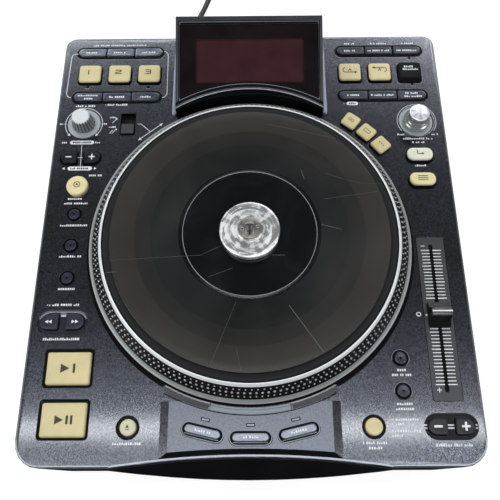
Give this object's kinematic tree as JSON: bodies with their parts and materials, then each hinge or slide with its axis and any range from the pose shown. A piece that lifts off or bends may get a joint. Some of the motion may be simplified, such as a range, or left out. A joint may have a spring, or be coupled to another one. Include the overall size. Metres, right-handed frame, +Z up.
{
  "type": "tabletop disc player",
  "caption": "Tabletop disc player deck with a motor platter and scratch disc, tilted display, key panel, pitch fader, knobs, front disc slot and coiled mains lead.",
  "frame": {"origin": "centre of the deck's own bounding box on the surface that its feet stand on, without the mains lead", "axes": "+X to the player's right, +Y to its rear, +Z up"},
  "size_m": [0.302, 0.5662, 0.1217],
  "materials": {
    "panel_paint": "dark blue-grey metallic lacquer, semi-gloss",
    "chassis_paint": "black satin powder coat",
    "fascia_black": "polished black",
    "housing_plastic": "satin black moulding",
    "window_plastic": "smoked window",
    "scale_paint": "dark grey satin",
    "platter_metal": "machined, black band with bright dots",
    "slipmat_cloth": "black felt",
    "disc_plastic": "smoky clear disc",
    "hub_metal": "turned and polished",
    "motor_steel": "plated steel",
    "drive_steel": "plated sheet",
    "roller_rubber": "matt",
    "board_resin": "coated circuit board",
    "button_black": "satin",
    "key_cream": "satin cream",
    "key_pale": "satin pale cream",
    "key_black": "satin black",
    "key_slate": "metallic slate",
    "knob_grey": "pale grey satin",
    "knob_chrome": "bright plated",
    "cord_rubber": "matt black"
  },
  "bodies": {
    "deck": {"top_panel": "panel_paint", "base_chassis": "chassis_paint", "front_fascia": "fascia_black", "display_housing": "housing_plastic", "display_window": "window_plastic", "fader_plate": "scale_paint", "platter_motor": "motor_steel", "disc_drive": "drive_steel", "main_board": "board_resin", "jack_board": "board_resin", "power_supply": "board_resin", "inlet_connector": "cord_rubber", "power_cord": "cord_rubber", "cord_coil": "cord_rubber", "mains_plug": "cord_rubber"},
    "platter": {"platter": "platter_metal", "slipmat": "slipmat_cloth"},
    "scratch_disc": {"scratch_disc": "disc_plastic", "centre_hub": "hub_metal"},
    "feed_roller": {"feed_roller": "roller_rubber"},
    "parameters_shaft": {"parameters_shaft": "motor_steel"},
    "parameters_knob": {"parameters_knob": "knob_chrome"},
    "effects_knob": {"effects_knob": "knob_grey"},
    "direction_switch": {"direction_switch": "button_black"},
    "pitch_fader": {"pitch_fader": "button_black"},
    "power_button": {"power_button": "button_black"},
    "clear_key_strip": {"clear_key_strip": "key_slate"},
    "loop_key_strip": {"loop_key_strip": "key_slate"},
    "time_key_strip": {"time_key_strip": "key_slate"},
    "flip_key_strip": {"flip_key_strip": "key_slate"},
    "loop_in_key": {"loop_in_key": "key_cream"},
    "loop_out_key": {"loop_out_key": "key_cream"},
    "reloop_key": {"reloop_key": "key_black"},
    "loop_halve_key": {"loop_halve_key": "key_black"},
    "loop_double_key": {"loop_double_key": "key_black"},
    "tap_key": {"tap_key": "key_cream"},
    "back_key": {"back_key": "key_pale"},
    "list_key": {"list_key": "key_cream"},
    "search_back_key": {"search_back_key": "key_black"},
    "search_forward_key": {"search_forward_key": "key_black"},
    "cue_key": {"cue_key": "key_cream"},
    "play_key": {"play_key": "key_cream"},
    "eject_key": {"eject_key": "key_cream"},
    "platter_mode_key": {"platter_mode_key": "key_cream"},
    "pitch_range_key": {"pitch_range_key": "button_black"},
    "key_adjust_key": {"key_adjust_key": "button_black"},
    "bend_down_key": {"bend_down_key": "key_black"},
    "bend_up_key": {"bend_up_key": "key_black"},
    "point_key_1": {"point_key_1": "key_cream"},
    "source_key_1": {"source_key_1": "key_cream"},
    "brake_key": {"brake_key": "key_slate"},
    "point_key_2": {"point_key_2": "key_cream"},
    "source_key_2": {"source_key_2": "key_cream"},
    "dump_key": {"dump_key": "key_slate"},
    "point_key_3": {"point_key_3": "key_cream"},
    "source_key_3": {"source_key_3": "key_cream"},
    "reverse_key": {"reverse_key": "key_slate"},
    "echo_key": {"echo_key": "button_black"},
    "flanger_key": {"flanger_key": "button_black"},
    "filter_key": {"filter_key": "button_black"}
  },
  "joints": [
    {"name": "platter_spin", "type": "hinge", "parent": "deck", "child": "platter", "pos_m": [0, -0.017, 0.1036], "axis": [0, 0, 1], "continuous": true},
    {"name": "scratch_disc_spin", "type": "hinge", "parent": "platter", "child": "scratch_disc", "pos_m": [0, -0.017, 0.1053], "axis": [0, 0, 1], "continuous": true},
    {"name": "feed_roller_spin", "type": "hinge", "parent": "deck", "child": "feed_roller", "pos_m": [0, -0.153, 0.043], "axis": [1, 0, 0], "continuous": true},
    {"name": "effects_turn", "type": "hinge", "parent": "deck", "child": "effects_knob", "pos_m": [-0.1287, 0.0836, 0.0864], "axis": [0, 0, 1], "range_deg": [-135, 135]},
    {"name": "parameters_press", "type": "slide", "parent": "deck", "child": "parameters_shaft", "axis": [0, 0, -1], "range_m": [0, 0.0005], "stiffness_N_per_m": 400, "springref_m": -0.004},
    {"name": "parameters_turn", "type": "hinge", "parent": "parameters_shaft", "child": "parameters_knob", "pos_m": [0.1287, 0.0836, 0.0864], "axis": [0, 0, 1], "continuous": true},
    {"name": "direction_slide", "type": "slide", "parent": "deck", "child": "direction_switch", "axis": [0, 1, 0], "range_m": [0, 0.0096]},
    {"name": "pitch_slide", "type": "slide", "parent": "deck", "child": "pitch_fader", "axis": [0, 1, 0], "range_m": [-0.0475, 0.0475]},
    {"name": "power_press", "type": "slide", "parent": "deck", "child": "power_button", "axis": [0, -1, 0], "range_m": [0, 0.002], "stiffness_N_per_m": 300, "springref_m": -0.004},
    {"name": "clear_key_strip_press", "type": "slide", "parent": "deck", "child": "clear_key_strip", "axis": [0, 0, -1], "range_m": [0, 0.001], "stiffness_N_per_m": 150, "springref_m": -0.004},
    {"name": "loop_key_strip_press", "type": "slide", "parent": "deck", "child": "loop_key_strip", "axis": [0, 0, -1], "range_m": [0, 0.001], "stiffness_N_per_m": 150, "springref_m": -0.004},
    {"name": "time_key_strip_press", "type": "slide", "parent": "deck", "child": "time_key_strip", "axis": [0, 0, -1], "range_m": [0, 0.001], "stiffness_N_per_m": 150, "springref_m": -0.004},
    {"name": "flip_key_strip_press", "type": "slide", "parent": "deck", "child": "flip_key_strip", "axis": [0, 0, -1], "range_m": [0, 0.001], "stiffness_N_per_m": 150, "springref_m": -0.004},
    {"name": "loop_in_key_press", "type": "slide", "parent": "deck", "child": "loop_in_key", "axis": [0, 0, -1], "range_m": [0, 0.001], "stiffness_N_per_m": 150, "springref_m": -0.004},
    {"name": "loop_out_key_press", "type": "slide", "parent": "deck", "child": "loop_out_key", "axis": [0, 0, -1], "range_m": [0, 0.001], "stiffness_N_per_m": 150, "springref_m": -0.004},
    {"name": "reloop_key_press", "type": "slide", "parent": "deck", "child": "reloop_key", "axis": [0, 0, -1], "range_m": [0, 0.001], "stiffness_N_per_m": 150, "springref_m": -0.004},
    {"name": "loop_halve_key_press", "type": "slide", "parent": "deck", "child": "loop_halve_key", "axis": [0, 0, -1], "range_m": [0, 0.001], "stiffness_N_per_m": 150, "springref_m": -0.004},
    {"name": "loop_double_key_press", "type": "slide", "parent": "deck", "child": "loop_double_key", "axis": [0, 0, -1], "range_m": [0, 0.001], "stiffness_N_per_m": 150, "springref_m": -0.004},
    {"name": "tap_key_press", "type": "slide", "parent": "deck", "child": "tap_key", "axis": [0, 0, -1], "range_m": [0, 0.001], "stiffness_N_per_m": 150, "springref_m": -0.004},
    {"name": "back_key_press", "type": "slide", "parent": "deck", "child": "back_key", "axis": [0, 0, -1], "range_m": [0, 0.001], "stiffness_N_per_m": 150, "springref_m": -0.004},
    {"name": "list_key_press", "type": "slide", "parent": "deck", "child": "list_key", "axis": [0, 0, -1], "range_m": [0, 0.001], "stiffness_N_per_m": 150, "springref_m": -0.004},
    {"name": "search_back_key_press", "type": "slide", "parent": "deck", "child": "search_back_key", "axis": [0, 0, -1], "range_m": [0, 0.001], "stiffness_N_per_m": 150, "springref_m": -0.004},
    {"name": "search_forward_key_press", "type": "slide", "parent": "deck", "child": "search_forward_key", "axis": [0, 0, -1], "range_m": [0, 0.001], "stiffness_N_per_m": 150, "springref_m": -0.004},
    {"name": "cue_key_press", "type": "slide", "parent": "deck", "child": "cue_key", "axis": [0, 0, -1], "range_m": [0, 0.001], "stiffness_N_per_m": 150, "springref_m": -0.004},
    {"name": "play_key_press", "type": "slide", "parent": "deck", "child": "play_key", "axis": [0, 0, -1], "range_m": [0, 0.001], "stiffness_N_per_m": 150, "springref_m": -0.004},
    {"name": "eject_key_press", "type": "slide", "parent": "deck", "child": "eject_key", "axis": [0, 0, -1], "range_m": [0, 0.001], "stiffness_N_per_m": 150, "springref_m": -0.004},
    {"name": "platter_mode_key_press", "type": "slide", "parent": "deck", "child": "platter_mode_key", "axis": [0, 0, -1], "range_m": [0, 0.001], "stiffness_N_per_m": 150, "springref_m": -0.004},
    {"name": "pitch_range_key_press", "type": "slide", "parent": "deck", "child": "pitch_range_key", "axis": [0, 0, -1], "range_m": [0, 0.001], "stiffness_N_per_m": 150, "springref_m": -0.004},
    {"name": "key_adjust_key_press", "type": "slide", "parent": "deck", "child": "key_adjust_key", "axis": [0, 0, -1], "range_m": [0, 0.001], "stiffness_N_per_m": 150, "springref_m": -0.004},
    {"name": "bend_down_key_press", "type": "slide", "parent": "deck", "child": "bend_down_key", "axis": [0, 0, -1], "range_m": [0, 0.001], "stiffness_N_per_m": 150, "springref_m": -0.004},
    {"name": "bend_up_key_press", "type": "slide", "parent": "deck", "child": "bend_up_key", "axis": [0, 0, -1], "range_m": [0, 0.001], "stiffness_N_per_m": 150, "springref_m": -0.004},
    {"name": "point_key_1_press", "type": "slide", "parent": "deck", "child": "point_key_1", "axis": [0, 0, -1], "range_m": [0, 0.001], "stiffness_N_per_m": 150, "springref_m": -0.004},
    {"name": "source_key_1_press", "type": "slide", "parent": "deck", "child": "source_key_1", "axis": [0, 0, -1], "range_m": [0, 0.001], "stiffness_N_per_m": 150, "springref_m": -0.004},
    {"name": "brake_key_press", "type": "slide", "parent": "deck", "child": "brake_key", "axis": [0, 0, -1], "range_m": [0, 0.001], "stiffness_N_per_m": 150, "springref_m": -0.004},
    {"name": "point_key_2_press", "type": "slide", "parent": "deck", "child": "point_key_2", "axis": [0, 0, -1], "range_m": [0, 0.001], "stiffness_N_per_m": 150, "springref_m": -0.004},
    {"name": "source_key_2_press", "type": "slide", "parent": "deck", "child": "source_key_2", "axis": [0, 0, -1], "range_m": [0, 0.001], "stiffness_N_per_m": 150, "springref_m": -0.004},
    {"name": "dump_key_press", "type": "slide", "parent": "deck", "child": "dump_key", "axis": [0, 0, -1], "range_m": [0, 0.001], "stiffness_N_per_m": 150, "springref_m": -0.004},
    {"name": "point_key_3_press", "type": "slide", "parent": "deck", "child": "point_key_3", "axis": [0, 0, -1], "range_m": [0, 0.001], "stiffness_N_per_m": 150, "springref_m": -0.004},
    {"name": "source_key_3_press", "type": "slide", "parent": "deck", "child": "source_key_3", "axis": [0, 0, -1], "range_m": [0, 0.001], "stiffness_N_per_m": 150, "springref_m": -0.004},
    {"name": "reverse_key_press", "type": "slide", "parent": "deck", "child": "reverse_key", "axis": [0, 0, -1], "range_m": [0, 0.001], "stiffness_N_per_m": 150, "springref_m": -0.004},
    {"name": "echo_key_press", "type": "slide", "parent": "deck", "child": "echo_key", "axis": [0, 0, -1], "range_m": [0, 0.001], "stiffness_N_per_m": 150, "springref_m": -0.004},
    {"name": "flanger_key_press", "type": "slide", "parent": "deck", "child": "flanger_key", "axis": [0, 0, -1], "range_m": [0, 0.001], "stiffness_N_per_m": 150, "springref_m": -0.004},
    {"name": "filter_key_press", "type": "slide", "parent": "deck", "child": "filter_key", "axis": [0, 0, -1], "range_m": [0, 0.001], "stiffness_N_per_m": 150, "springref_m": -0.004}
  ]
}
